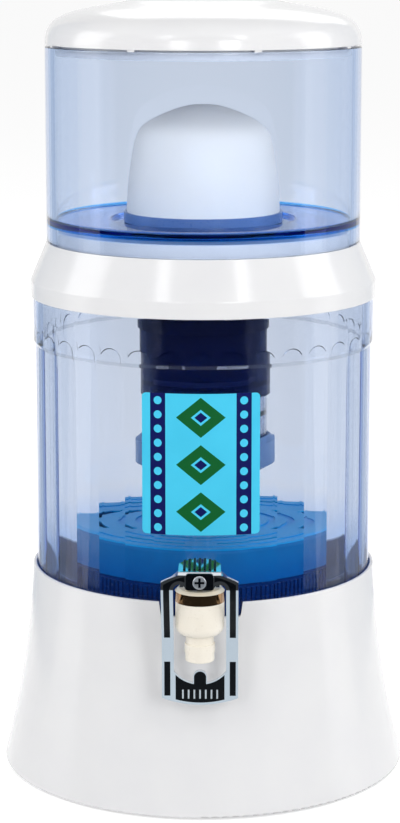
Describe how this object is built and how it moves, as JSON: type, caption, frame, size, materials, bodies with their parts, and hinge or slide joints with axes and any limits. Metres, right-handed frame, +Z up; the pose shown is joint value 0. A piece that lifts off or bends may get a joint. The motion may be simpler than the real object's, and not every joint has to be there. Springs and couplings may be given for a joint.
{
  "type": "gravity water filter with tap",
  "caption": "Round two-tank gravity water filter with a ceramic dome, a hanging cartridge and a mineral case, on a flared stand, with a push tap on the front.",
  "frame": {"origin": "on the table, under the middle of the stand, on the axis that the tanks share", "axes": "+Z up along the tanks' axis; -Y is the front, where the tap is; +X is to the right of someone who faces the tap"},
  "size_m": [0.243, 0.2734, 0.46],
  "materials": {
    "white_plastic": "glossy white moulded plastic",
    "blue_tank": "clear blue-tinted moulded plastic, polished",
    "label_film": "printed film in cyan, navy and green",
    "ceramic": "unglazed white ceramic",
    "navy_plastic": "dark blue moulded plastic",
    "clear_plastic": "clear moulded plastic",
    "case_blue": "blue moulded plastic",
    "felt": "white felt pad",
    "carbon": "packed black granules",
    "zeolite": "packed grey granules",
    "mineral": "smooth mineral stones",
    "ivory_plastic": "ivory moulded plastic",
    "chrome": "polished plate",
    "black_plastic": "black moulded plastic",
    "steel": "stainless steel",
    "grey_rubber": "soft grey rubber"
  },
  "bodies": {
    "stand": {"base_stand": "white_plastic", "rubber_feet": "grey_rubber"},
    "lower_tank_unit": {"lower_tank": "blue_tank", "front_label": "label_film", "tap_body": "ivory_plastic", "tap_washers": "grey_rubber", "tap_nut": "ivory_plastic", "tap_bonnet": "chrome", "valve_spring": "steel"},
    "ring": {"ring_cover": "white_plastic"},
    "upper_tank_unit": {"upper_tank": "blue_tank", "ceramic_dome": "ceramic", "dome_collar": "navy_plastic", "dome_gasket": "grey_rubber", "dome_wing_nut": "white_plastic"},
    "lid": {"lid": "white_plastic"},
    "cartridge_ring": {"cartridge_seal": "grey_rubber"},
    "cartridge": {"cartridge_head": "navy_plastic", "cartridge_body": "navy_plastic", "cartridge_sleeve": "clear_plastic", "cartridge_cap": "navy_plastic", "filter_pads": "felt", "carbon_bed": "carbon", "zeolite_bed": "zeolite", "mineral_bed": "mineral"},
    "mineral_case": {"mineral_case_base": "case_blue", "mineral_stones": "mineral"},
    "mineral_lid": {"mineral_case_lid": "case_blue"},
    "lever": {"tap_lever": "chrome", "lever_inlays": "black_plastic", "lever_screw": "chrome", "lever_pin": "steel"},
    "valve": {"valve_stem": "steel", "valve_seal": "grey_rubber"}
  },
  "joints": [
    {"name": "lower_tank_lift", "type": "slide", "parent": "stand", "child": "lower_tank_unit", "axis": [0, 0, 1], "range_m": [0, 0.06]},
    {"name": "ring_lift", "type": "slide", "parent": "lower_tank_unit", "child": "ring", "axis": [0, 0, 1], "range_m": [0, 0.05]},
    {"name": "upper_tank_lift", "type": "slide", "parent": "ring", "child": "upper_tank_unit", "axis": [0, 0, 1], "range_m": [0, 0.15]},
    {"name": "lid_lift", "type": "slide", "parent": "upper_tank_unit", "child": "lid", "axis": [0, 0, 1], "range_m": [0, 0.06]},
    {"name": "cartridge_turn", "type": "hinge", "parent": "upper_tank_unit", "child": "cartridge_ring", "pos_m": [0, 0, 0.314], "axis": [0, 0, 1], "range_deg": [0, 540]},
    {"name": "cartridge_drop", "type": "slide", "parent": "cartridge_ring", "child": "cartridge", "axis": [0, 0, 1], "range_m": [-0.0046, 0]},
    {"name": "mineral_case_lift", "type": "slide", "parent": "lower_tank_unit", "child": "mineral_case", "axis": [0, 0, 1], "range_m": [0, 0.014]},
    {"name": "mineral_lid_lift", "type": "slide", "parent": "mineral_case", "child": "mineral_lid", "axis": [0, 0, 1], "range_m": [0, 0.012]},
    {"name": "tap_lever_press", "type": "hinge", "parent": "lower_tank_unit", "child": "lever", "pos_m": [0, -0.142, 0.1488], "axis": [1, 0, 0], "range_deg": [0, 12], "stiffness_Nm_per_rad": 0.5, "springref_deg": -17.19},
    {"name": "valve_lift", "type": "slide", "parent": "lower_tank_unit", "child": "valve", "axis": [0, 0, 1], "range_m": [0, 0.0014], "deforming": ["valve_spring"]}
  ],
  "couplings": [
    {"joint": "cartridge_drop", "follows": "cartridge_turn", "m_per_rad": -0.00047746},
    {"joint": "valve_lift", "follows": "tap_lever_press", "m_per_rad": 0.0062}
  ]
}
